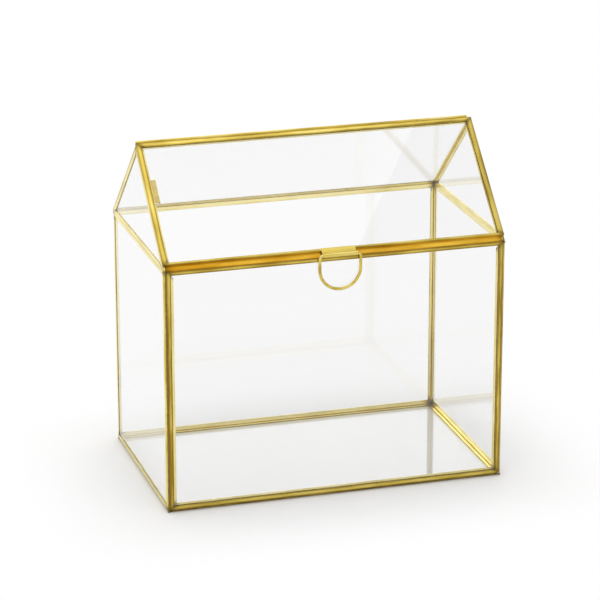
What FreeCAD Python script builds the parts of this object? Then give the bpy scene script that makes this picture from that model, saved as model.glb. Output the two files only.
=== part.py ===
import FreeCAD, Part
import math
import os

# A card box shaped like a small glass house. Every pane has its own frame of folded brass channel.
# Units are millimetres. X runs along the ridge, -Y is the front, Z is up.
# The origin is the middle of the base, on the surface that the box stands on.

# Overall sizes
WIDTH = 250.0            # outer faces of the left and right walls
DEPTH = 152.6            # outer faces of the front and back walls
WALL_HEIGHT = 178.9      # top of the four walls
GABLE_RISE = 68.0        # height of the gable triangles above the walls

# Glass and channel
GLASS = 1.2              # thickness of every pane
BRASS = 0.3              # thickness of the folded channel
GLASS_FIT = 0.05         # gap between a pane and its channel
OUTER_LEG = 3.0          # width of the leg outside the glass
INNER_LEG = 3.4          # width of the leg inside the glass
FLOOR_LEG = 4.8          # the inner legs at the bottom of the front and side walls are wider
FRONT_LEG = 5.0          # so are those at the sides of the front wall
BASE_LEG = 2.5           # and those on the floor are narrower
BACK_LEG = 2.2           # both legs at the sides of the back wall
DOOR_SIDE_OUTER = 4.0    # the door's channel is wider at its left and right edges
DOOR_SIDE_INNER = 5.2
DOOR_TOP_LEG = 3.8       # and as wide on both sides of the glass along the ridge
DOOR_BOTTOM_OUTER = 2.0
DOOR_BOTTOM_INNER = 2.4
FOLD_RADIUS = 0.4        # rounding of the folded edges
SOLDER_LEG = 0.9         # side of the solder seam in a groove between two channels

# Ridge hinge
PIN_RADIUS = 0.6
PIN_FIT = 0.05           # running clearance of the pin in its knuckles, on the radius
KNUCKLE_RADIUS = 1.1
KNUCKLE_ROOM = 0.15      # gap from a knuckle to the door's upper edge
HINGE_OUT = 0.6          # height of the pin above the door's underside
DOOR_LAP = 2.8           # the door's upper edge reaches this far past the gable tips
LAP_ROOM = 0.35          # gap from the door's underside to the back roof's upper edge
LEAF_START = 1.1         # from the back roof's upper edge to the foot of the fixed knuckles
LEAF_FOOT = 2.0          # width of that foot
LEFT_INSET = 0.5         # the tube stops this far short of the ridge's left end
RIGHT_INSET = 3.0        # and this far short of its right end
DOOR_KNUCKLE = 167.2     # length of the middle knuckle, which is fixed to the door
KNUCKLE_PLAY = 0.4       # gap along the pin between two knuckles

# Door sill and rest
DOOR_GAP = 3.7           # width of sill that shows below the closed door, along the slope
SILL_BRASS = 0.8         # thickness of the sill and of the rest tab
SILL_LAP = 2.6           # how far the sill reaches under the door
SILL_DROP = 3.0          # leg of the sill behind the front wall's channel
REST_START = 27.5        # from the gable's tip down the slope to the rest tab
REST_LENGTH = 18.5
REST_WIDTH = 6.8
REST_LEG = 3.0           # leg of the tab against the gable's channel
REST_LIP = 1.8           # turned-down free edge of the tab

# Pull ring on the door's lower edge
WIRE_RADIUS = 1.1
RING_WIDTH = 32.1        # outside of the wire
RING_BEND = 2.4          # middle radius of the two upper bends
RING_SIDE = 7.7          # straight sides between the bends and the half round
RING_FIT = 0.05          # clearance of the wire in its tube, on the radius
RING_END_PLAY = 0.1      # from each end of the tube to the bends
STRAP_BRASS = 0.4
PULL_ROOM = 0.3          # gap between the hanging ring and the front wall
PULL_OFFSET = 1.5        # the pull sits a little right of the middle

# Worked out from the sizes above
CHANNEL = GLASS + 2 * (BRASS + GLASS_FIT)
FOLD = min(FOLD_RADIUS, 0.45 * CHANNEL)
WALL_HALF_X = WIDTH / 2 - CHANNEL
WALL_HALF_Y = DEPTH / 2 - CHANNEL
SLOPE = math.atan2(GABLE_RISE, WALL_HALF_Y)
APEX = WALL_HEIGHT + GABLE_RISE
EAVE_AT = WALL_HALF_Y / math.cos(SLOPE)
BACK_LEAN = max(0.0, CHANNEL * math.cos(2 * SLOPE))
BACK_TOP = (LAP_ROOM + BACK_LEAN) / math.sin(2 * SLOPE)
DOOR_END = EAVE_AT - DOOR_GAP
KNUCKLE_BORE = PIN_RADIUS + PIN_FIT
RIDGE_LEFT = LEFT_INSET - WIDTH / 2
RIDGE_RIGHT = WIDTH / 2 - RIGHT_INSET
RING_HALF = RING_WIDTH / 2 - WIRE_RADIUS
TUBE_HALF = RING_HALF - RING_BEND - RING_END_PLAY
TUBE_BORE = WIRE_RADIUS + RING_FIT
TUBE_RADIUS = TUBE_BORE + STRAP_BRASS

X = FreeCAD.Vector(1, 0, 0)
Y = FreeCAD.Vector(0, 1, 0)
Z = FreeCAD.Vector(0, 0, 1)


def frame(origin, across, up):
    """A flat frame: first axis across, second up, third outward from the face."""
    turn = FreeCAD.Rotation(across, up, across.cross(up), "ZXY")
    return FreeCAD.Placement(origin, turn)


# Each roof frame starts above the gable tips, on the slope's outer face.
# Its second axis runs up the slope.
FRONT_UP = Y * math.cos(SLOPE) + Z * math.sin(SLOPE)
FRONT_OUT = Y * -math.sin(SLOPE) + Z * math.cos(SLOPE)
BACK_UP = Y * -math.cos(SLOPE) + Z * math.sin(SLOPE)
BACK_OUT = Y * math.sin(SLOPE) + Z * math.cos(SLOPE)
TIP = Z * APEX
HINGE = TIP + FRONT_UP * (DOOR_LAP + KNUCKLE_ROOM + KNUCKLE_RADIUS) + FRONT_OUT * HINGE_OUT
FRONT_ROOF = frame(TIP + FRONT_OUT * CHANNEL, X, FRONT_UP)
BACK_ROOF = frame(TIP + BACK_OUT * CHANNEL, -X, BACK_UP)


def face_of(points):
    """A flat face through points."""
    return Part.Face(Part.makePolygon(list(points) + [points[0]]))


def plate(corners, low, high):
    """A slab over flat corners, from height low to height high."""
    points = [FreeCAD.Vector(c.x, c.y, low) for c in corners]
    return face_of(points).extrude(Z * (high - low))


def rod(radius, start, end):
    """A round bar from start to end."""
    way = end - start
    return Part.makeCylinder(radius, way.Length, start, way)


def inward(corners):
    """For each edge of a counter-clockwise outline, the direction into the panel."""
    result = []
    for i, here in enumerate(corners):
        along = corners[(i + 1) % len(corners)] - here
        result.append(Z.cross(along).normalize())
    return result


def corner_steps(corners, widths):
    """For each corner, the step that moves its two edges inward by their widths."""
    into = inward(corners)
    result = []
    for i in range(len(corners)):
        lean = into[i - 1].dot(into[i])
        before = into[i - 1] * (widths[i - 1] - lean * widths[i])
        after = into[i] * (widths[i] - lean * widths[i - 1])
        result.append((before + after) * (1 / (1 - lean * lean)))
    return result


def channel_section(start, into, outer_leg, inner_leg):
    """The folded channel's section at start, with its open side towards into."""
    def at(across, down):
        return start + into * across - Z * down

    bow = FOLD * (1 - math.sqrt(0.5))
    outer_fold = Part.Arc(at(0, FOLD), at(bow, bow), at(FOLD, 0))
    inner_fold = Part.Arc(at(FOLD, CHANNEL), at(bow, CHANNEL - bow), at(0, CHANNEL - FOLD))
    legs = [
        at(FOLD, 0),
        at(outer_leg, 0),
        at(outer_leg, BRASS),
        at(BRASS, BRASS),
        at(BRASS, CHANNEL - BRASS),
        at(inner_leg, CHANNEL - BRASS),
        at(inner_leg, CHANNEL),
        at(FOLD, CHANNEL),
    ]
    edges = [Part.makeLine(a, b) for a, b in zip(legs, legs[1:])]
    edges.append(inner_fold.toShape())
    edges.append(Part.makeLine(at(0, CHANNEL - FOLD), at(0, FOLD)))
    edges.append(outer_fold.toShape())
    return Part.Face(Part.Wire(edges))


def panel(name, edge_names, corners, place, other_legs=None):
    """One framed pane: its glass, and a mitred channel along each edge.

    The edges that other_legs names have their own widths of outer and inner leg.
    """
    into = inward(corners)
    usual = (OUTER_LEG, INNER_LEG)
    edge_legs = [(other_legs or {}).get(edge_name, usual) for edge_name in edge_names]
    steps = corner_steps(corners, [outer for outer, _ in edge_legs])
    pieces = {}
    for i, edge_name in enumerate(edge_names):
        j = (i + 1) % len(corners)
        legs = edge_legs[i]
        reach = 1 + max(legs) / legs[0]
        section = channel_section(corners[i], into[i], *legs)
        bar = section.extrude(corners[j] - corners[i])
        mitre = [
            corners[i] - steps[i],
            corners[j] - steps[j],
            corners[j] + steps[j] * reach,
            corners[i] + steps[i] * reach,
        ]
        strip = bar.common(plate(mitre, -CHANNEL - 1, 1)).Solids[0]
        pieces[name + "_" + edge_name + "_channel"] = strip
    inset = BRASS + GLASS_FIT
    edge = [c + s for c, s in zip(corners, corner_steps(corners, [inset] * len(corners)))]
    pieces[name + "_glass"] = plate(edge, inset - CHANNEL, -inset)
    for shape in pieces.values():
        shape.Placement = place
    return pieces


def rectangle(left, low, right, high):
    """Counter-clockwise corners of an upright rectangle."""
    return [
        FreeCAD.Vector(left, low, 0),
        FreeCAD.Vector(right, low, 0),
        FreeCAD.Vector(right, high, 0),
        FreeCAD.Vector(left, high, 0),
    ]


def walls():
    """Four walls, which stand on the base's edges and touch at their inner corners."""
    long_wall = rectangle(-WALL_HALF_X, CHANNEL, WALL_HALF_X, WALL_HEIGHT)
    short_wall = rectangle(-WALL_HALF_Y, CHANNEL, WALL_HALF_Y, WALL_HEIGHT)
    front = frame(Y * (-DEPTH / 2), X, Z)
    back = frame(Y * (DEPTH / 2), -X, Z)
    left = frame(X * (-WIDTH / 2), -Y, Z)
    right = frame(X * (WIDTH / 2), Y, Z)
    low = {"bottom": (OUTER_LEG, FLOOR_LEG)}
    broad = {**low, "left": (OUTER_LEG, FRONT_LEG), "right": (OUTER_LEG, FRONT_LEG)}
    slim = {"left": (BACK_LEG, BACK_LEG), "right": (BACK_LEG, BACK_LEG)}
    return {
        **panel("front_wall", ("bottom", "right", "top", "left"), long_wall, front, broad),
        **panel("back_wall", ("bottom", "left", "top", "right"), long_wall, back, slim),
        **panel("left_wall", ("bottom", "front", "top", "back"), short_wall, left, low),
        **panel("right_wall", ("bottom", "back", "top", "front"), short_wall, right, low),
    }


def base():
    """The floor of the box, which it stands on."""
    floor = rectangle(-WALL_HALF_X, -WALL_HALF_Y, WALL_HALF_X, WALL_HALF_Y)
    edges = ("back", "right", "front", "left")
    legs = dict.fromkeys(edges, (OUTER_LEG, BASE_LEG))
    return panel("base", edges, floor, frame(FreeCAD.Vector(), X, -Y), legs)


def gables():
    """Two triangles that stand on the side walls, under the roof."""
    triangle = [
        FreeCAD.Vector(-WALL_HALF_Y, 0, 0),
        FreeCAD.Vector(WALL_HALF_Y, 0, 0),
        FreeCAD.Vector(0, GABLE_RISE, 0),
    ]
    left = frame(FreeCAD.Vector(-WIDTH / 2, 0, WALL_HEIGHT), -Y, Z)
    right = frame(FreeCAD.Vector(WIDTH / 2, 0, WALL_HEIGHT), Y, Z)
    return {
        **panel("left_gable", ("bottom", "front", "back"), triangle, left),
        **panel("right_gable", ("bottom", "back", "front"), triangle, right),
    }


def roof():
    """The fixed back slope, and the door, which laps over its upper edge. Both lie on the gables."""
    slope = rectangle(-WIDTH / 2, -EAVE_AT, WIDTH / 2, -BACK_TOP)
    door = rectangle(-WIDTH / 2, -DOOR_END, WIDTH / 2, DOOR_LAP)
    door_legs = {
        "bottom": (DOOR_BOTTOM_OUTER, DOOR_BOTTOM_INNER),
        "right": (DOOR_SIDE_OUTER, DOOR_SIDE_INNER),
        "top": (DOOR_TOP_LEG, DOOR_TOP_LEG),
        "left": (DOOR_SIDE_OUTER, DOOR_SIDE_INNER),
    }
    return {
        **panel("back_roof", ("bottom", "left", "top", "right"), slope, BACK_ROOF),
        **panel("door", tuple(door_legs), door, FRONT_ROOF, door_legs),
    }


def seam(root, first, second, along):
    """A solder seam in the groove at root, between two channels that lie towards first and second."""
    return face_of([root, root + first * SOLDER_LEG, root + second * SOLDER_LEG]).extrude(along)


def solder():
    """Seams in the outer grooves of the four posts, the four base edges and the back eave."""
    posts = []
    base_edges = []
    for sx in (-1, 1):
        for sy in (-1, 1):
            root = FreeCAD.Vector(sx * WALL_HALF_X, sy * WALL_HALF_Y, CHANNEL)
            posts.append(seam(root, X * sx, Y * sy, Z * (WALL_HEIGHT - CHANNEL)))
    for s in (-1, 1):
        long_root = FreeCAD.Vector(-WALL_HALF_X, s * WALL_HALF_Y, CHANNEL)
        short_root = FreeCAD.Vector(s * WALL_HALF_X, -WALL_HALF_Y, CHANNEL)
        base_edges.append(seam(long_root, Y * s, -Z, X * 2 * WALL_HALF_X))
        base_edges.append(seam(short_root, X * s, -Z, Y * 2 * WALL_HALF_Y))
    eave_root = FreeCAD.Vector(-WALL_HALF_X, WALL_HALF_Y, WALL_HEIGHT)
    eave = seam(eave_root, Y, BACK_OUT, X * 2 * WALL_HALF_X)
    return {
        "post_solder_seams": Part.makeCompound(posts),
        "base_solder_seams": Part.makeCompound(base_edges),
        "back_eave_solder_seam": eave,
    }


def sill():
    """A bent strip from behind the front wall's top channel to under the door's lower edge."""
    foot = FreeCAD.Vector(-WALL_HALF_X, -WALL_HALF_Y, WALL_HEIGHT)
    bend = SILL_BRASS * math.tan(SLOPE / 2 - math.pi / 4)
    upper = foot + FRONT_UP * (DOOR_GAP + SILL_LAP)
    outline = [
        foot,
        upper,
        upper - FRONT_OUT * SILL_BRASS,
        foot + Y * SILL_BRASS + Z * bend,
        foot + Y * SILL_BRASS - Z * SILL_DROP,
        foot - Z * SILL_DROP,
    ]
    return {"door_sill": face_of(outline).extrude(X * 2 * WALL_HALF_X)}


def rest_tab():
    """A small folded tab on the left gable's front channel, which the door's edge lies on."""
    start = FreeCAD.Vector(-WALL_HALF_X, 0, APEX) - FRONT_UP * (REST_START + REST_LENGTH)

    def at(across, down):
        return start + X * across - FRONT_OUT * down

    outline = [
        at(0, 0),
        at(REST_WIDTH, 0),
        at(REST_WIDTH, REST_LIP),
        at(REST_WIDTH - SILL_BRASS, REST_LIP),
        at(REST_WIDTH - SILL_BRASS, SILL_BRASS),
        at(SILL_BRASS, SILL_BRASS),
        at(SILL_BRASS, REST_LEG),
        at(0, REST_LEG),
    ]
    return {"door_rest_tab": face_of(outline).extrude(FRONT_UP * REST_LENGTH)}


def knuckle(start, end, foot):
    """A length of hinge tube, with the solder wedge that joins it to the channel at foot."""
    wedge = face_of([p + X * start for p in [HINGE] + foot]).extrude(X * (end - start))
    tube = rod(KNUCKLE_RADIUS, HINGE + X * start, HINGE + X * end).fuse(wedge)
    bore = rod(KNUCKLE_BORE, HINGE + X * (start - 1), HINGE + X * (end + 1))
    return tube.cut(bore).Solids[0]


def hinge():
    """The pin and its three knuckles along the ridge."""
    middle = DOOR_KNUCKLE / 2
    end = middle + KNUCKLE_PLAY
    web = TIP + FRONT_UP * DOOR_LAP
    on_door = [web + FRONT_OUT * (CHANNEL - FOLD), web + FRONT_OUT * FOLD]
    leaf = TIP - BACK_UP * (BACK_TOP + LEAF_START) + BACK_OUT * CHANNEL
    on_roof = [leaf, leaf - BACK_UP * LEAF_FOOT]
    return {
        "hinge_pin": rod(PIN_RADIUS, HINGE + X * RIDGE_LEFT, HINGE + X * RIDGE_RIGHT),
        "left_hinge_knuckle": knuckle(RIDGE_LEFT, -end, on_roof),
        "right_hinge_knuckle": knuckle(end, RIDGE_RIGHT, on_roof),
        "door_hinge_knuckle": knuckle(-middle, middle, on_door),
    }


# The ring hangs clear of the front wall. The underside of its tube is level with the door's outer face.
BAR_OUT = CHANNEL + TUBE_RADIUS
BAR_FORWARD = DEPTH / 2 + PULL_ROOM + WIRE_RADIUS
BAR_DOWN = (BAR_FORWARD - BAR_OUT * math.sin(SLOPE)) / math.cos(SLOPE)
BAR = TIP + X * PULL_OFFSET - FRONT_UP * BAR_DOWN + FRONT_OUT * BAR_OUT


def pull_strap():
    """The strap on the door's lower channel, rolled into a tube round the ring's bar."""
    left = PULL_OFFSET - TUBE_HALF
    right = PULL_OFFSET + TUBE_HALF
    leaf = plate(rectangle(left, -BAR_DOWN, right, DOOR_BOTTOM_OUTER - DOOR_END), 0, STRAP_BRASS)
    leaf.Placement = FRONT_ROOF
    tube = rod(TUBE_RADIUS, BAR - X * TUBE_HALF, BAR + X * TUBE_HALF)
    bore = rod(TUBE_BORE, BAR - X * (TUBE_HALF + 1), BAR + X * (TUBE_HALF + 1))
    return {"pull_strap": leaf.fuse(tube).cut(bore).Solids[0]}


def pull_ring():
    """The D-shaped wire ring, hanging from its straight bar."""
    flat = RING_HALF - RING_BEND
    drop = RING_BEND + RING_SIDE
    eighth = math.sqrt(0.5)
    bar_end = X * flat
    side_top = X * RING_HALF - Z * RING_BEND
    bend_middle = X * (flat + RING_BEND * eighth) - Z * RING_BEND * (1 - eighth)
    side_end = X * RING_HALF - Z * drop
    round_middle = X * RING_HALF * eighth - Z * (drop + RING_HALF * eighth)
    bottom = -Z * (drop + RING_HALF)
    path = Part.Wire([
        Part.makeLine(FreeCAD.Vector(), bar_end),
        Part.Arc(bar_end, bend_middle, side_top).toShape(),
        Part.makeLine(side_top, side_end),
        Part.Arc(side_end, round_middle, bottom).toShape(),
    ])
    section = Part.Wire(Part.makeCircle(WIRE_RADIUS, FreeCAD.Vector(), X))
    half = path.makePipeShell([section], True, False)
    ring = half.fuse(half.mirror(FreeCAD.Vector(), X)).removeSplitter().Solids[0]
    ring.translate(BAR)
    return {"pull_ring": ring}


def main():
    """Build every piece and write one file for each."""
    pieces = {}
    for build in (walls, base, gables, roof, solder, sill, rest_tab, hinge, pull_strap, pull_ring):
        pieces.update(build())
    os.makedirs("parts", exist_ok=True)
    for name, shape in pieces.items():
        shape.exportStep("parts/" + name + ".step")
    box = Part.makeCompound(list(pieces.values())).BoundBox
    print(len(pieces), "nodes")
    print("box", [round(v, 2) for v in (box.XMin, box.XMax, box.YMin, box.YMax, box.ZMin, box.ZMax)])
    print("hinge axis", [round(v, 3) for v in HINGE], "pull bar", [round(v, 3) for v in BAR])


main()
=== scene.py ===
"""The looks of a glass card box shaped like a small house.

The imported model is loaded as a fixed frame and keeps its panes, hinge, sill, rest tab and pull. The folded
brass channels round the panes and the solder between them are built here as finer meshes, in the places of
their solids. Small beads of solder at the corners are added.
"""

import logging
import math
from collections.abc import Sequence
from dataclasses import dataclass, field
from enum import Enum
from typing import Any

import bmesh
import bpy
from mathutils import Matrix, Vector, noise


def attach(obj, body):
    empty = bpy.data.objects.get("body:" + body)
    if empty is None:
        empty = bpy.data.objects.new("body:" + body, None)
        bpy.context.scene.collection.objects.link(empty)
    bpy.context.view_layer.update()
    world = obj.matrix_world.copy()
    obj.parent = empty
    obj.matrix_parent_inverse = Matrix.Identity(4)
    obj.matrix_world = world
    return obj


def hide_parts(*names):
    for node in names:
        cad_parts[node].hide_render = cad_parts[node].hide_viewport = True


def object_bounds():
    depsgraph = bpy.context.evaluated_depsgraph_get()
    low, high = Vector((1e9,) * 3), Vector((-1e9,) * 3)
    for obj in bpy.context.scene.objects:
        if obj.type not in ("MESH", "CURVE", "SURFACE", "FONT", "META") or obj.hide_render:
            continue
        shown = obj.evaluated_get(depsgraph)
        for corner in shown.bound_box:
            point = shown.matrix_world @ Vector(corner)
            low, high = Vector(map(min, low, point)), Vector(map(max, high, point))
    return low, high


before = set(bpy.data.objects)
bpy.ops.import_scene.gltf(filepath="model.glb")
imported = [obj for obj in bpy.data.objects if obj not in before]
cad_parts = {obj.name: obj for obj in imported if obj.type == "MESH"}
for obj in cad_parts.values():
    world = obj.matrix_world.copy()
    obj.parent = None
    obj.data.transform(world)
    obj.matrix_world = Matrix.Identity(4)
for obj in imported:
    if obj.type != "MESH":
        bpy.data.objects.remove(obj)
CAD_LOW, CAD_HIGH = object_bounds()

log = logging.getLogger("card_box")

MM = 0.001
WHITE = (1.0, 1.0, 1.0, 1.0)
SHARP_ANGLE = math.radians(35)  # edges that turn by more than this stay sharp
NOISE_LOW, NOISE_HIGH = 0.3, 0.7  # most values of a shader's noise lie between these
MIX_FIRST, MIX_SECOND, MIX_RESULT = 6, 7, 2  # the colour sockets of a mix node
STRIP_MAP = "sheet"  # the map of a strip laid flat, in metres
END_DISTANCE = "from_end"  # how far a point of a strip is from the nearer end
TONE_AND_LIGHT = "polish"  # how bright the brass is coloured at a point of a strip: its tone and its painted light


class Body(Enum):
    """The rigid bodies that new pieces move with."""

    BOX = "box"
    DOOR = "door"


class Grain(Enum):
    """Where a brass finish takes its lengthwise direction from."""

    SHEET_MAP = "the map of a folded strip: along it, then round its section"
    ALONG_RIDGE = "the object's own X axis"
    EVEN = "no direction"


def linear(colour: str) -> tuple[float, float, float, float]:
    """Turn an sRGB colour into linear light.

    Args:
        colour: A hex value such as "#C8A850".

    Returns:
        Red, green, blue and an alpha of one.
    """
    shares = [int(colour[i:i + 2], 16) / 255 for i in (1, 3, 5)]
    lit = [s / 12.92 if s <= 0.04045 else ((s + 0.055) / 1.055) ** 2.4 for s in shares]
    return lit[0], lit[1], lit[2], 1.0


def add_node(
    tree: bpy.types.NodeTree, kind: str, inputs: dict[Any, Any] | None = None, **settings: Any
) -> bpy.types.Node:
    """Add one node to a tree, with its settings, constants and links.

    Args:
        tree: The tree that takes the node.
        kind: Blender's name for the node type.
        inputs: A constant, or an output socket to link, for each input by name or number.
        **settings: The node's own properties.

    Returns:
        The new node.
    """
    made = tree.nodes.new(kind)
    for name, value in settings.items():
        setattr(made, name, value)
    for key, value in (inputs or {}).items():
        if isinstance(value, bpy.types.NodeSocket):
            tree.links.new(value, made.inputs[key])
        else:
            made.inputs[key].default_value = value
    return made


def new_material(name: str) -> tuple[bpy.types.Material, bpy.types.NodeTree]:
    """Start an empty material.

    Args:
        name: The material's name.

    Returns:
        The material and its node tree, with no nodes in it.
    """
    material = bpy.data.materials.new(name)
    material.use_nodes = True
    material.node_tree.nodes.clear()
    return material, material.node_tree


@dataclass(frozen=True)
class BrassFinish:
    """Yellow brass, with the marks of the hand that folded and soldered it.

    Rolled brass sheet is bent over the glass by hand, so its faces are a little uneven and mirror the room
    in long soft patches. Its colour runs from olive through gold to pale. On the folded strips that
    brightness is
    painted light: paler inside the box and behind the glass where the frame shades it, and on the faces that
    the lamps light, with painted shade along the edges of each leg. Heat browns it beside the solder.
    """

    name: str
    grain: Grain
    polished: str = "#FAECA6"
    golden: str = "#D8C05C"
    toned: str = "#90742A"
    heated: str = "#5A4420"
    golden_share: float = 0.5  # how bright the brass is where it is golden
    polish: float = 0.45  # how bright it is on faces that carry no value of their own
    patchiness: float = 0.25  # how much brighter or duller a patch is
    patch_long: float = 34.0 * MM
    patch_across: float = 7.0 * MM
    patch_detail: float = 3.0
    roughness_low: float = 0.16
    roughness_high: float = 0.27
    wave_long: float = 22.0 * MM
    wave_across: float = 5.0 * MM
    wave_detail: float = 1.0
    wave_height: float = 0.03 * MM
    heat_share: float = 0.7  # how far the brass is browned beside the solder
    heat_reach: float = 4.0 * MM
    heat_start: float = 0.4  # the browning fades between these shares of its reach
    heat_end: float = 1.6
    half_length: float = 0.0  # where a bar's ends are, if they are browned

    def stretched(
        self, tree: bpy.types.NodeTree, place: bpy.types.NodeSocket, long: float, across: float, detail: float
    ) -> bpy.types.NodeSocket:
        """Add a noise that is drawn out along the grain.

        Args:
            tree: The material's tree.
            place: The coordinates to read, in metres.
            long: The size of a patch along the grain.
            across: Its size across the grain.
            detail: How many finer layers the noise has.

        Returns:
            The noise, from nought to one.
        """
        if self.grain is Grain.EVEN:
            scale = (1 / across, 1 / across, 1 / across)
        else:
            scale = (1 / long, 1 / across, 1 / across)
        drawn = add_node(tree, "ShaderNodeVectorMath", {0: place, 1: scale}, operation="MULTIPLY")
        grainy = add_node(
            tree, "ShaderNodeTexNoise", {"Vector": drawn.outputs[0], "Scale": 1.0, "Detail": detail}
        )
        return grainy.outputs["Fac"]

    def tone(
        self, tree: bpy.types.NodeTree, bright: bpy.types.NodeSocket, patches: bpy.types.NodeSocket
    ) -> bpy.types.NodeSocket:
        """Colour the brass from toned through golden to polished.

        Args:
            tree: The material's tree.
            bright: How bright the brass is.
            patches: The noise that makes it patchy.

        Returns:
            The colour.
        """
        shift = add_node(
            tree, "ShaderNodeMapRange",
            {"Value": patches, "From Min": NOISE_LOW, "From Max": NOISE_HIGH,
             "To Min": -self.patchiness, "To Max": self.patchiness},
        )
        share = add_node(
            tree, "ShaderNodeMath", {0: bright, 1: shift.outputs[0]}, operation="ADD", use_clamp=True
        )
        ramp = add_node(tree, "ShaderNodeValToRGB", {"Fac": share.outputs[0]})
        stops = ramp.color_ramp.elements
        stops.new(self.golden_share)
        for stop, shade in zip(stops, (self.toned, self.golden, self.polished)):
            stop.color = linear(shade)
        return ramp.outputs["Color"]

    def browned(
        self, tree: bpy.types.NodeTree, colour: bpy.types.NodeSocket, from_end: bpy.types.NodeSocket,
        patches: bpy.types.NodeSocket,
    ) -> bpy.types.NodeSocket:
        """Brown a colour beside the solder, with a ragged edge.

        Args:
            tree: The material's tree.
            colour: The colour of the brass.
            from_end: How far the solder is.
            patches: The noise that makes the edge ragged.

        Returns:
            The new colour.
        """
        ragged = add_node(
            tree, "ShaderNodeMath", {0: patches, 1: self.heat_reach, 2: from_end}, operation="MULTIPLY_ADD"
        )
        heat = add_node(
            tree, "ShaderNodeMapRange",
            {"Value": ragged.outputs[0], "From Min": self.heat_start * self.heat_reach,
             "From Max": self.heat_end * self.heat_reach, "To Min": self.heat_share, "To Max": 0.0},
            interpolation_type="SMOOTHSTEP",
        )
        mixed = add_node(
            tree, "ShaderNodeMix", {0: heat.outputs[0], MIX_FIRST: colour, MIX_SECOND: linear(self.heated)},
            data_type="RGBA",
        )
        return mixed.outputs[MIX_RESULT]

    def build(self) -> bpy.types.Material:
        """Make the material."""
        material, tree = new_material(self.name)
        if self.grain is Grain.SHEET_MAP:
            place = add_node(tree, "ShaderNodeUVMap", uv_map=STRIP_MAP).outputs["UV"]
            bright = add_node(tree, "ShaderNodeAttribute", attribute_name=TONE_AND_LIGHT).outputs["Fac"]
            from_end = add_node(tree, "ShaderNodeAttribute", attribute_name=END_DISTANCE).outputs["Fac"]
        else:
            place = add_node(tree, "ShaderNodeTexCoord").outputs["Object"]
            bright = add_node(tree, "ShaderNodeValue").outputs[0]
            bright.default_value = self.polish
            along = add_node(tree, "ShaderNodeSeparateXYZ", {0: place}).outputs["X"]
            side = add_node(tree, "ShaderNodeMath", {0: along}, operation="ABSOLUTE")
            reach = add_node(
                tree, "ShaderNodeMath", {0: self.half_length, 1: side.outputs[0]}, operation="SUBTRACT"
            )
            from_end = reach.outputs[0]
        patches = self.stretched(tree, place, self.patch_long, self.patch_across, self.patch_detail)
        waves = self.stretched(tree, place, self.wave_long, self.wave_across, self.wave_detail)
        colour = self.tone(tree, bright, patches)
        if self.grain is Grain.SHEET_MAP or self.half_length:
            colour = self.browned(tree, colour, from_end, patches)
        roughness = add_node(
            tree, "ShaderNodeMapRange",
            {"Value": patches, "From Min": NOISE_LOW, "From Max": NOISE_HIGH,
             "To Min": self.roughness_low, "To Max": self.roughness_high},
        )
        uneven = add_node(
            tree, "ShaderNodeBump", {"Height": waves, "Strength": 1.0, "Distance": self.wave_height}
        )
        shader = add_node(
            tree, "ShaderNodeBsdfPrincipled",
            {"Base Color": colour, "Metallic": 1.0, "Roughness": roughness.outputs[0],
             "Normal": uneven.outputs[0]},
        )
        add_node(tree, "ShaderNodeOutputMaterial", {"Surface": shader.outputs[0]})
        return material


@dataclass(frozen=True)
class GlassFinish:
    """Clear float glass, cut from a thin sheet.

    Its faces are flat and mirror the frame faintly. A sheet this thin shows no green, and each pane holds
    back a little light, so the floor is a shade darker under the box and beside it.
    """

    name: str = "clear_float_glass"
    tint: str = "#FBFBFB"
    shade: str = "#F2F2F2"
    ior: float = 1.52

    def build(self) -> bpy.types.Material:
        """Make the material."""
        material, tree = new_material(self.name)
        pane = add_node(
            tree, "ShaderNodeBsdfPrincipled",
            {"Base Color": linear(self.tint), "Roughness": 0.0, "IOR": self.ior, "Transmission Weight": 1.0},
        )
        clear = add_node(tree, "ShaderNodeBsdfTransparent", {"Color": linear(self.shade)})
        # Shadows and scattered light pass straight through, a little dimmed.
        ray = add_node(tree, "ShaderNodeLightPath")
        unseen = add_node(
            tree, "ShaderNodeMath", {0: ray.outputs["Is Shadow Ray"], 1: ray.outputs["Is Diffuse Ray"]},
            operation="MAXIMUM",
        )
        mixed = add_node(
            tree, "ShaderNodeMixShader", {0: unseen.outputs[0], 1: pane.outputs[0], 2: clear.outputs[0]}
        )
        add_node(tree, "ShaderNodeOutputMaterial", {"Surface": mixed.outputs[0]})
        return material


@dataclass(frozen=True)
class Finishes:
    """The finished materials that the pieces share."""

    sheet: bpy.types.Material
    bar: bpy.types.Material
    tab: bpy.types.Material
    wire: bpy.types.Material
    sill: bpy.types.Material
    solder: bpy.types.Material
    glass: bpy.types.Material


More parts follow.
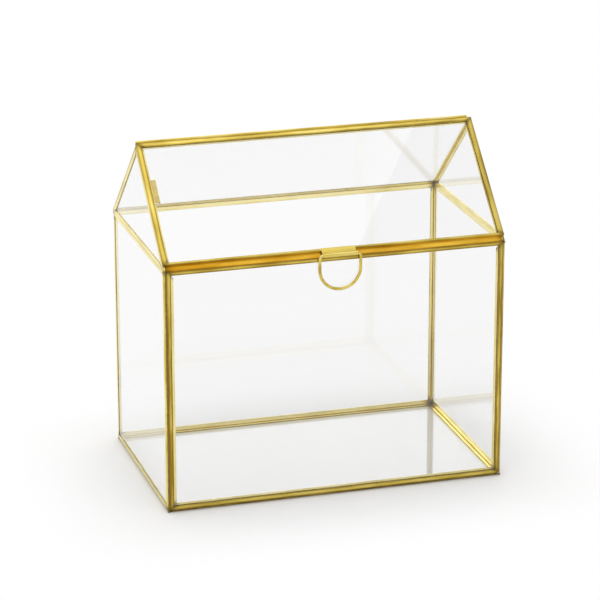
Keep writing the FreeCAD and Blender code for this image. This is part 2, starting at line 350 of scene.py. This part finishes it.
def make_finishes() -> Finishes:
    """Make every material of the box once."""
    return Finishes(
        # Folded sheet is coloured by each strip's painted light, paler inside the box than outside it, in
        # patches along each strip.
        sheet=BrassFinish("folded_brass_sheet", Grain.SHEET_MAP).build(),
        # Rolled bar and tube are an even gold, with soft streaks along the ridge.
        bar=BrassFinish("rolled_brass_bar", Grain.ALONG_RIDGE, polish=0.5).build(),
        # The rest tab is never polished, so it is the most olive.
        tab=BrassFinish("toned_brass_tab", Grain.ALONG_RIDGE, polish=0.25).build(),
        # Drawn wire is smooth, with hardly a wave in it.
        wire=BrassFinish("drawn_brass_wire", Grain.EVEN, wave_height=0.01 * MM).build(),
        # The sill's warm orange is painted reflection and shade, for the brass it mirrors under the door. It
        # is duller, with strong patches and dark ends.
        sill=BrassFinish(
            "golden_brass_sill", Grain.ALONG_RIDGE, polished="#F8CE50", golden="#DDAC36", toned="#BC8614",
            heated="#38260E", patchiness=0.45, roughness_low=0.30, roughness_high=0.42, heat_reach=7.0 * MM,
            half_length=CAD_HIGH[0],
        ).build(),
        # Solder is toned to match the brass, and stays browner and duller than it.
        solder=BrassFinish(
            "brass_toned_solder", Grain.EVEN, polished="#A38C4E", golden="#8A743F", toned="#6E592C",
            roughness_low=0.26, roughness_high=0.40, patch_across=3.0 * MM, wave_across=1.6 * MM,
        ).build(),
        glass=GlassFinish().build(),
    )


def dress(node: str, material: bpy.types.Material) -> None:
    """Give a carried-over node its finish.

    Args:
        node: The node's name.
        material: The finish for all of its faces.
    """
    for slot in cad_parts[node].material_slots:
        slot.material = material
    log.info("dressed %s in %s", node, material.name)


def add_piece(
    name: str, mesh: bpy.types.Mesh, material: bpy.types.Material, body: Body, replaced: Sequence[str] = ()
) -> None:
    """Put a new mesh in the scene as a piece of the box.

    Args:
        name: The piece's name.
        mesh: Its mesh, in place.
        material: Its finish.
        body: The body that it moves with.
        replaced: The nodes that it stands for.
    """
    mesh.materials.append(material)
    mesh.polygons.foreach_set("use_smooth", [True] * len(mesh.polygons))
    mesh.set_sharp_from_angle(angle=SHARP_ANGLE)
    piece = bpy.data.objects.new(name, mesh)
    bpy.context.scene.collection.objects.link(piece)
    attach(piece, body.value)
    if replaced:
        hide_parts(*replaced)
    log.info("built %s: %d faces", name, len(mesh.polygons))


def tube_faces(count: int, slices: int) -> list[tuple[int, ...]]:
    """Join rings of points into a closed tube.

    Args:
        count: How many points each ring has.
        slices: How many stretches the tube has between its rings.

    Returns:
        The faces of each stretch in turn, then the first end and the last.
    """
    faces = []
    for k in range(slices):
        near, far = k * count, (k + 1) * count
        for j in range(count):
            nxt = (j + 1) % count
            faces.append((near + j, near + nxt, far + nxt, far + j))
    faces.append(tuple(range(count - 1, -1, -1)))
    faces.append(tuple(slices * count + j for j in range(count)))
    return faces


def tube_map(around: Sequence[float], slices: int, length: float, start: float) -> list[float]:
    """Lay the faces of a tube out flat, along it and round its section.

    Args:
        around: How far round the section each of its points is, and the whole way round.
        slices: How many stretches the tube has.
        length: The tube's length.
        start: Where its map begins, so that tubes don't share their patches.

    Returns:
        Two coordinates for each corner of each face, in the order of tube_faces.
    """
    count = len(around) - 1
    places = []
    for k in range(slices):
        near, far = start + k / slices * length, start + (k + 1) / slices * length
        for j in range(count):
            places += [near, around[j], near, around[j + 1], far, around[j + 1], far, around[j]]
    for j in range(count - 1, -1, -1):
        places += [start, around[j]]
    for j in range(count):
        places += [start + length, around[j]]
    return places


@dataclass(frozen=True)
class ChannelSection:
    """The folded channel's section: a web, a leg outside the glass and a leg inside it."""

    thickness: float
    outer_leg: float
    inner_leg: float
    crown: float  # how far the outer leg bulges
    brass: float = 0.3 * MM  # how thick the sheet is
    fold: float = 0.4 * MM  # the outer radius of the folds
    edge: float = 0.08 * MM  # how far the tips are eased
    fold_steps: int = 4
    leg_steps: int = 8
    web_steps: int = 3

    def side(self, inset: float, crown: float) -> list[tuple[float, float]]:
        """One side of the folded sheet, from the outer leg's tip round to the inner leg's.

        Args:
            inset: How far the side lies within the channel's outer skin.
            crown: How far the outer leg bulges on this side.

        Returns:
            Points as distance in from the web and depth under the outer face.
        """
        radius = self.fold - inset
        points = []
        for i in range(self.leg_steps):
            share = i / self.leg_steps
            reach = self.outer_leg - self.edge - share * (self.outer_leg - self.edge - self.fold)
            points.append((reach, inset - crown * math.sin(math.pi * share)))
        for i in range(self.fold_steps + 1):
            turn = math.pi / 2 * i / self.fold_steps
            points.append((self.fold - radius * math.sin(turn), self.fold - radius * math.cos(turn)))
        for i in range(1, self.web_steps):
            points.append((inset, self.fold + (self.thickness - 2 * self.fold) * i / self.web_steps))
        for i in range(self.fold_steps + 1):
            turn = math.pi / 2 * i / self.fold_steps
            depth = self.thickness - self.fold + radius * math.sin(turn)
            points.append((self.fold - radius * math.cos(turn), depth))
        for i in range(1, self.leg_steps + 1):
            share = i / self.leg_steps
            reach = self.fold + share * (self.inner_leg - self.edge - self.fold)
            points.append((reach, self.thickness - inset))
        return points

    def skin(self) -> list[tuple[float, float]]:
        """The side of the sheet that faces away from the glass."""
        return self.side(0.0, self.crown)

    def outline(self) -> list[tuple[float, float]]:
        """The whole closed section, skin first, with eased tips."""
        low = self.thickness - self.edge
        high = self.thickness - self.brass + self.edge
        inner_tip = [(self.inner_leg, low), (self.inner_leg, high)]
        outer_tip = [(self.outer_leg, self.brass - self.edge), (self.outer_leg, self.edge)]
        inside = self.side(self.brass, 0.0)[::-1]
        return self.skin() + inner_tip + inside + outer_tip


@dataclass
class FramedPanel:
    """One pane in its frame of folded brass channel."""

    name: str
    edges: tuple[str, ...]
    across: Vector
    up: Vector
    body: Body = Body.BOX
    polish: float = 0.36  # how bright the outer legs are
    edge_polish: dict[str, float] = field(default_factory=dict)  # for edges that differ from the rest, such as the front's foot, which is painted light
    edge_shade: float = 0.45  # painted shade and highlight: how much darker a leg is coloured along its edges than along its middle
    inner_spared: float = 0.6  # how much of that painted shade the inner leg is spared
    covered: float = 1.0  # painted light: how bright the sheet is coloured where the glass covers it, against the shade there
    crown: float = 0.15 * MM
    slice_length: float = 3.0 * MM
    fewest_slices: int = 4
    wave: float = 0.04 * MM
    wave_long: float = 11.0 * MM
    wave_crossings: float = 3.0  # how many times shorter the waves are round the section
    wave_taper: float = 7.0 * MM
    leg_depth: float = 0.25  # each leg lies within this share of the channel's thickness
    seed: float = 0.0
    seed_step: float = 3.7
    low: Vector = field(init=False)
    high: Vector = field(init=False)

    def __post_init__(self) -> None:
        """Measure the panel's solids along its own axes."""
        axes = (self.across, self.up, self.out())
        places = []
        for edge in self.edges:
            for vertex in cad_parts[self.node(edge)].data.vertices:
                places.append([vertex.co.dot(axis) for axis in axes])
        self.low = Vector([min(p[i] for p in places) for i in range(3)])
        self.high = Vector([max(p[i] for p in places) for i in range(3)])

    def out(self) -> Vector:
        """The direction out of the box."""
        return self.across.cross(self.up)

    def node(self, edge: str) -> str:
        """The name of the solid along an edge."""
        return f"{self.name}_{edge}_channel"

    def corners(self) -> list[Vector]:
        """The frame's outline, counter-clockwise, in the panel's own axes."""
        outline = [(self.low.x, self.low.y), (self.high.x, self.low.y)]
        if len(self.edges) == 3:  # a gable
            outline.append(((self.low.x + self.high.x) / 2, self.high.y))
        else:
            outline += [(self.high.x, self.high.y), (self.low.x, self.high.y)]
        return [Vector((a, u, 0.0)) for a, u in outline]

    def inward(self, index: int) -> Vector:
        """The direction from an edge towards the pane's middle, in the panel's own axes."""
        corners = self.corners()
        along = corners[(index + 1) % len(corners)] - corners[index]
        return Vector((0, 0, 1)).cross(along).normalized()

    def mitres(self) -> list[Vector]:
        """Find where the outer legs of neighbouring edges meet.

        Returns:
            For each corner, the step to that place.
        """
        count = len(self.edges)
        into = [self.inward(i) for i in range(count)]
        widths = [self.section(i).outer_leg for i in range(count)]
        steps = []
        for i in range(count):
            lean = into[i - 1].dot(into[i])
            before = into[i - 1] * (widths[i - 1] - lean * widths[i])
            after = into[i] * (widths[i] - lean * widths[i - 1])
            steps.append((before + after) / (1 - lean * lean))
        return steps

    def section(self, index: int) -> ChannelSection:
        """Measure the channel along an edge.

        Args:
            index: The edge's number.

        Returns:
            The section of its solid, with a crowned outer leg.
        """
        start, into, out = self.corners()[index], self.inward(index), self.out()
        thickness = self.high.z - self.low.z
        outer, inner = 0.0, 0.0
        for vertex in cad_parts[self.node(self.edges[index])].data.vertices:
            spot = vertex.co
            reach = (spot.dot(self.across) - start.x) * into.x + (spot.dot(self.up) - start.y) * into.y
            depth = self.high.z - spot.dot(out)
            if depth < self.leg_depth * thickness:
                outer = max(outer, reach)
            elif depth > (1 - self.leg_depth) * thickness:
                inner = max(inner, reach)
        return ChannelSection(thickness, outer, inner, self.crown)

    def place(self, point: Vector) -> Vector:
        """A point of the panel's own axes in the frame of the box."""
        return self.across * point.x + self.up * point.y + self.out() * point.z

    def strip(self, index: int) -> bpy.types.Mesh:
        """Fold one strip of channel along an edge, mitred at both ends.

        Args:
            index: The edge's number.

        Returns:
            The strip's mesh.
        """
        corners, mitres = self.corners(), self.mitres()
        after = (index + 1) % len(corners)
        section = self.section(index)
        outline, skin = section.outline(), len(section.skin())
        start, end = corners[index], corners[after]
        start_step, end_step = mitres[index] / section.outer_leg, mitres[after] / section.outer_leg
        length = (end - start).length
        slices = max(self.fewest_slices, round(length / self.slice_length))
        middle = Vector((section.fold, section.thickness / 2))
        seed = self.seed + self.seed_step * index
        polish = self.edge_polish.get(self.edges[index], self.polish)
        around = [0.0]
        for one, two in zip(outline, outline[1:] + outline[:1]):
            around.append(around[-1] + math.dist(one, two))
        vertices, distances, shine = [], [], []
        for k in range(slices + 1):
            share = k / slices
            reach = min(share, 1 - share) * length
            calm = min(1.0, reach / self.wave_taper)
            for j, (into, down) in enumerate(outline):
                # Painted light: the sheet is coloured brighter towards the inside of the box and under the
                # glass, where the frame shades it.
                depth = self.covered if j >= skin else down / section.thickness
                # Painted shade darkens each leg along its edges, and a painted highlight lightens its middle.
                edge_darkening = math.cos(math.pi * min(1.0, into / section.outer_leg)) ** 2
                shine.append(polish + (1 - polish) * depth - self.edge_shade * edge_darkening * (1 - self.inner_spared * depth))
                # The skin is a little dented, and less so towards the ends.
                if j < skin:
                    turn = around[j] / self.wave_long * self.wave_crossings
                    ripple = noise.noise(Vector((share * length / self.wave_long, turn, seed)))
                    dent = self.wave * calm * (0.5 + 0.5 * ripple)
                    aim = (middle - Vector((into, down))).normalized()
                    into, down = into + dent * aim.x, down + dent * aim.y
                flat = (start + start_step * into).lerp(end + end_step * into, share)
                vertices.append(self.place(flat + Vector((0, 0, self.high.z - down))))
                distances.append(reach)
        mesh = bpy.data.meshes.new(f"{self.name}_{self.edges[index]}_strip")
        mesh.from_pydata(vertices, [], tube_faces(len(outline), slices))
        layer = mesh.uv_layers.new(name=STRIP_MAP)
        layer.data.foreach_set("uv", tube_map(around, slices, length, seed))
        for name, values in ((END_DISTANCE, distances), (TONE_AND_LIGHT, shine)):
            mesh.attributes.new(name, "FLOAT", "POINT").data.foreach_set("value", values)
        return mesh

    def build(self, finishes: Finishes) -> None:
        """Fold the strips round the pane, and dress the pane.

        Args:
            finishes: The shared materials.
        """
        for index, edge in enumerate(self.edges):
            mesh = self.strip(index)
            add_piece(mesh.name, mesh, finishes.sheet, self.body, [self.node(edge)])
        dress(f"{self.name}_glass", finishes.glass)


@dataclass
class Glasshouse:
    """The nine framed panes that make the walls, base, gables and roof."""

    left_painted_light: float = 1.0  # painted light: the left side is coloured brighter, for the light that falls on it from the left
    foot_painted_light: float = 0.62  # painted light: the front's lowest strip is coloured brighter than the rest of the front, against the shaded floor that it mirrors
    lid_painted_light: float = 0.58  # painted light: the door's frame, which faces up to the lamps, is coloured brighter than the walls
    lid_covered: float = 0.6  # but its sheet behind the glass takes less of that painted light
    seed_step: float = 17.3
    panels: dict[str, FramedPanel] = field(default_factory=dict)

    def add(self, *args: Any, **kwargs: Any) -> None:
        """Add a panel, with a seed of its own.

        Args:
            *args: The panel's name, edges and axes.
            **kwargs: Its other settings.
        """
        panel = FramedPanel(*args, seed=self.seed_step * (len(self.panels) + 1), **kwargs)
        self.panels[panel.name] = panel

    def slope(self) -> float:
        """The roof's angle, from the left gable's triangle."""
        gable = self.panels["left_gable"]
        return math.atan2(gable.high.y - gable.low.y, (gable.high.x - gable.low.x) / 2)

    def measure(self) -> None:
        """Set up every panel along its own axes."""
        x, y, z = Vector((1, 0, 0)), Vector((0, 1, 0)), Vector((0, 0, 1))
        # Painted light: the front's lowest strip is coloured brighter.
        foot = {"bottom": self.foot_painted_light}
        self.add("front_wall", ("bottom", "right", "top", "left"), x, z, edge_polish=foot)
        self.add("back_wall", ("bottom", "left", "top", "right"), -x, z)
        # Painted light: the left wall and the left gable are coloured brighter.
        self.add("left_wall", ("bottom", "front", "top", "back"), -y, z, polish=self.left_painted_light)
        self.add("right_wall", ("bottom", "back", "top", "front"), y, z)
        self.add("base", ("back", "right", "front", "left"), x, -y, crown=0.0)
        self.add("left_gable", ("bottom", "front", "back"), -y, z, polish=self.left_painted_light)
        self.add("right_gable", ("bottom", "back", "front"), y, z)
        angle = self.slope()
        front_up = y * math.cos(angle) + z * math.sin(angle)
        back_up = -y * math.cos(angle) + z * math.sin(angle)
        self.add("back_roof", ("bottom", "left", "top", "right"), -x, back_up)
        # Painted light: the door's frame is coloured brighter than the walls, and less so behind its glass.
        self.add(
            "door", ("bottom", "right", "top", "left"), x, front_up, body=Body.DOOR, polish=self.lid_painted_light,
            covered=self.lid_covered,
        )

    def build(self, finishes: Finishes) -> None:
        """Build every panel.

        Args:
            finishes: The shared materials.
        """
        for panel in self.panels.values():
            panel.build(finishes)


@dataclass
class SolderWork:
    """Solder run by hand into the grooves between the channels, with a bead at each corner of the box."""

    house: Glasshouse
    leg: float = 1.0 * MM
    unevenness: float = 0.25
    fullness: float = 0.3  # how full a seam's hollow face is: at one it is flat
    ripple: float = 4.0 * MM
    slice_length: float = 1.5 * MM
    face_steps: int = 4
    side_step: float = 5.1  # these two set the noise of each side and seam apart
    seam_step: float = 7.9
    bead_radius: float = 0.98 * MM
    bead_detail: int = 3
    bead_lump: float = 0.08
    bead_step: float = 900.0  # sets the noise of each bead apart by its place

    def seam(
        self, root: Vector, first: Vector, second: Vector, along: Vector, seed: float
    ) -> tuple[list[Vector], list[tuple[int, ...]]]:
        """Run one seam of solder into a groove.

        Args:
            root: The groove's inner corner, at its start.
            first: The direction along one of the groove's sides.
            second: The direction along its other side.
            along: The groove's direction and length.
            seed: A number that makes the seam differ from the others.

        Returns:
            The vertices and the faces of a closed mesh.
        """
        slices = round(along.length / self.slice_length)
        vertices = []
        for k in range(slices + 1):
            share = k / slices
            legs = []
            for side in range(2):
                where = Vector((share * along.length / self.ripple, seed, self.side_step * side))
                legs.append(self.leg * (1 + self.unevenness * noise.noise(where)))
            here = root + along * share
            tips = here + first * legs[0], here + second * legs[1]
            pull = here.lerp((tips[0] + tips[1]) / 2, self.fullness)
            vertices.append(here)
            for i in range(self.face_steps + 1):
                t = i / self.face_steps
                vertices.append(tips[0] * (1 - t) ** 2 + pull * 2 * t * (1 - t) + tips[1] * t ** 2)
        return vertices, tube_faces(self.face_steps + 2, slices)

    def run(self, name: str, seams: Sequence[tuple], finishes: Finishes, replaced: str) -> None:
        """Make one piece of several seams.

        Args:
            name: The piece's name.
            seams: For each seam, its root, its two sides and its direction.
            finishes: The shared materials.
            replaced: The node that the piece stands for.
        """
        vertices, faces = [], []
        for index, seam in enumerate(seams):
            more, around = self.seam(*seam, self.seam_step * index)
            faces += [tuple(len(vertices) + j for j in face) for face in around]
            vertices += more
        mesh = bpy.data.meshes.new(name)
        mesh.from_pydata(vertices, [], faces)
        shape = bmesh.new()
        shape.from_mesh(mesh)
        bmesh.ops.recalc_face_normals(shape, faces=shape.faces)
        shape.to_mesh(mesh)
        shape.free()
        add_piece(name, mesh, finishes.solder, Body.BOX, [replaced])

    def beads(self, centres: Sequence[Vector], finishes: Finishes) -> None:
        """Set a bead of solder in each corner notch.

        Args:
            centres: The beads' middles.
            finishes: The shared materials.
        """
        shape = bmesh.new()
        for centre in centres:
            ball = bmesh.ops.create_icosphere(shape, subdivisions=self.bead_detail, radius=self.bead_radius)
            for vertex in ball["verts"]:
                lump = noise.noise(vertex.co / self.bead_radius + centre * self.bead_step)
                vertex.co = centre + vertex.co * (1 - self.bead_lump + self.bead_lump * lump)
        mesh = bpy.data.meshes.new("corner_solder_beads")
        shape.to_mesh(mesh)
        shape.free()
        add_piece(mesh.name, mesh, finishes.solder, Body.BOX)

    def build(self, finishes: Finishes) -> None:
        """Run the seams and set the beads.

        Args:
            finishes: The shared materials.
        """
        x, y, z = Vector((1, 0, 0)), Vector((0, 1, 0)), Vector((0, 0, 1))
        front, side = self.house.panels["front_wall"], self.house.panels["right_wall"]
        half_x, half_y = front.high.x, side.high.x
        foot, head = front.low.y, front.high.y
        roof_out = self.house.panels["back_roof"].out()
        signs = (-1, 1)
        posts = [
            (Vector((sx * half_x, sy * half_y, foot)), x * sx, y * sy, z * (head - foot))
            for sx in signs for sy in signs
        ]
        long_edges = [(Vector((-half_x, s * half_y, foot)), y * s, -z, x * 2 * half_x) for s in signs]
        short_edges = [(Vector((s * half_x, -half_y, foot)), x * s, -z, y * 2 * half_y) for s in signs]
        eave = [(Vector((-half_x, half_y, head)), y, roof_out, x * 2 * half_x)]
        self.run("post_solder_beading", posts, finishes, "post_solder_seams")
        self.run("base_solder_beading", long_edges + short_edges, finishes, "base_solder_seams")
        self.run("back_eave_solder_beading", eave, finishes, "back_eave_solder_seam")
        middle = foot / 2
        self.beads(
            [
                Vector((sx * (half_x + middle), sy * (half_y + middle), level))
                for sx in signs for sy in signs for level in (middle, head - middle)
            ],
            finishes,
        )


@dataclass
class Fittings:
    """The sill, rest tab, ridge hinge and pull, which keep their solids."""

    bars: tuple[str, ...] = (
        "hinge_pin", "left_hinge_knuckle", "right_hinge_knuckle", "door_hinge_knuckle", "pull_strap",
    )

    def build(self, finishes: Finishes) -> None:
        """Dress the fittings.

        Args:
            finishes: The shared materials.
        """
        for node in self.bars:
            dress(node, finishes.bar)
        dress("pull_ring", finishes.wire)
        dress("door_rest_tab", finishes.tab)
        dress("door_sill", finishes.sill)


@dataclass(frozen=True)
class Softbox:
    """One soft studio lamp that faces the box. A radiance of one is as bright as plain white."""

    name: str
    place: tuple[float, float, float]
    width: float
    height: float
    radiance: float


@dataclass
class Studio:
    """A pale floor, soft lamps and the camera of a plain product picture."""

    target: Vector = field(default_factory=lambda: Vector((0.0, 0.0, 0.11142)))
    azimuth: float = -16.80
    elevation: float = 18.88
    distance: float = 2.1765
    lens: float = 179.3
    sensor: float = 36.0
    shift: tuple[float, float] = (-0.01023, 0.02343)
    floor_radius: float = 12.0
    floor_sides: int = 96
    floor_colour: str = "#F9F9F9"
    fade_start: float = 0.01  # between these distances from the box the paper turns plain white
    fade_end: float = 0.11
    walls_end: float = 0.15  # between these heights of a line of sight the walls turn into the ceiling
    ceiling_start: float = 0.6
    wall_light: float = 1.0
    ceiling_light: float = 0.78
    lamps: tuple[Softbox, ...] = (
        Softbox("key_softbox", (-0.235, 0.12, 1.35), 2.0, 1.7, 0.6),
        Softbox("back_softbox", (0.35, 1.9, 0.95), 2.8, 1.0, 1.0),
    )

    def camera(self) -> None:
        """Stand the camera where the photograph was taken."""
        data = bpy.data.cameras.new("product_camera")
        data.lens, data.sensor_width = self.lens, self.sensor
        data.shift_x, data.shift_y = self.shift
        eye = bpy.data.objects.new("product_camera", data)
        turn, tilt = math.radians(self.azimuth), math.radians(self.elevation)
        back = Vector((math.sin(turn) * math.cos(tilt), -math.cos(turn) * math.cos(tilt), math.sin(tilt)))
        eye.location = self.target + back * self.distance
        eye.rotation_mode = "QUATERNION"
        eye.rotation_quaternion = (-back).to_track_quat("-Z", "Y")
        bpy.context.scene.collection.objects.link(eye)
        bpy.context.scene.camera = eye

    def floor_material(self) -> bpy.types.Material:
        """Matt white paper. It keeps the shadow beside the box, and far from it shows as plain white."""
        material, tree = new_material("matt_white_paper")
        paper = add_node(tree, "ShaderNodeBsdfDiffuse", {"Color": linear(self.floor_colour)})
        white = add_node(tree, "ShaderNodeEmission", {"Strength": 1.0})
        # The plain white is only seen, directly, mirrored or through glass. It lights nothing.
        ray = add_node(tree, "ShaderNodeLightPath")
        seen = add_node(
            tree, "ShaderNodeMath", {0: ray.outputs["Is Camera Ray"], 1: ray.outputs["Is Glossy Ray"]},
            operation="MAXIMUM",
        )
        shown = add_node(
            tree, "ShaderNodeMath", {0: seen.outputs[0], 1: ray.outputs["Is Transmission Ray"]},
            operation="MAXIMUM",
        )
        place = add_node(tree, "ShaderNodeNewGeometry")
        side = add_node(tree, "ShaderNodeVectorMath", {0: place.outputs["Position"]}, operation="ABSOLUTE")
        beyond = add_node(
            tree, "ShaderNodeVectorMath", {0: side.outputs[0], 1: (CAD_HIGH[0], CAD_HIGH[1], 0.0)},
            operation="SUBTRACT",
        )
        outside = add_node(
            tree, "ShaderNodeVectorMath", {0: beyond.outputs[0], 1: (0.0, 0.0, 0.0)}, operation="MAXIMUM"
        )
        away = add_node(tree, "ShaderNodeVectorMath", {0: outside.outputs[0]}, operation="LENGTH")
        fade = add_node(
            tree, "ShaderNodeMapRange",
            {"Value": away.outputs["Value"], "From Min": self.fade_start, "From Max": self.fade_end},
            interpolation_type="SMOOTHSTEP",
        )
        share = add_node(
            tree, "ShaderNodeMath", {0: fade.outputs[0], 1: shown.outputs[0]}, operation="MULTIPLY"
        )
        mixed = add_node(
            tree, "ShaderNodeMixShader", {0: share.outputs[0], 1: paper.outputs[0], 2: white.outputs[0]}
        )
        add_node(tree, "ShaderNodeOutputMaterial", {"Surface": mixed.outputs[0]})
        return material

    def floor(self) -> None:
        """Lay the paper that the box stands on."""
        mesh = bpy.data.meshes.new("paper_floor")
        shape = bmesh.new()
        bmesh.ops.create_circle(shape, cap_ends=True, segments=self.floor_sides, radius=self.floor_radius)
        shape.to_mesh(mesh)
        shape.free()
        mesh.materials.append(self.floor_material())
        paper = bpy.data.objects.new("paper_floor", mesh)
        bpy.context.scene.collection.objects.link(paper)

    def world(self) -> None:
        """A pale room: white walls at eye level and a greyer ceiling."""
        world = bpy.data.worlds.new("pale_room")
        bpy.context.scene.world = world
        world.use_nodes = True
        tree = world.node_tree
        tree.nodes.clear()
        way = add_node(tree, "ShaderNodeTexCoord")
        height = add_node(tree, "ShaderNodeSeparateXYZ", {0: way.outputs["Generated"]})
        share = add_node(
            tree, "ShaderNodeMapRange",
            {"Value": height.outputs["Z"], "From Min": self.walls_end, "From Max": self.ceiling_start,
             "To Min": self.wall_light, "To Max": self.ceiling_light},
            interpolation_type="SMOOTHSTEP",
        )
        room = add_node(tree, "ShaderNodeBackground", {"Color": WHITE, "Strength": share.outputs[0]})
        add_node(tree, "ShaderNodeOutputWorld", {"Surface": room.outputs[0]})

    def lights(self) -> None:
        """Hang the softboxes, each turned to the box."""
        for lamp in self.lamps:
            data = bpy.data.lights.new(lamp.name, "AREA")
            data.shape = "RECTANGLE"
            data.size, data.size_y = lamp.width, lamp.height
            data.energy = lamp.radiance * math.pi * lamp.width * lamp.height
            light = bpy.data.objects.new(lamp.name, data)
            light.location = lamp.place
            light.rotation_mode = "QUATERNION"
            light.rotation_quaternion = (self.target - light.location).to_track_quat("-Z", "Y")
            bpy.context.scene.collection.objects.link(light)

    def build(self) -> None:
        """Set up the whole studio."""
        bpy.context.scene.view_settings.view_transform = "Standard"
        self.camera()
        self.floor()
        self.world()
        self.lights()


def main() -> None:
    """Build the box's looks and the studio round it."""
    logging.basicConfig(level=logging.INFO, format="%(name)s: %(message)s")
    finishes = make_finishes()
    house = Glasshouse()
    house.measure()
    house.build(finishes)
    SolderWork(house).build(finishes)
    Fittings().build(finishes)
    Studio().build()


if __name__ == "__main__":
    main()
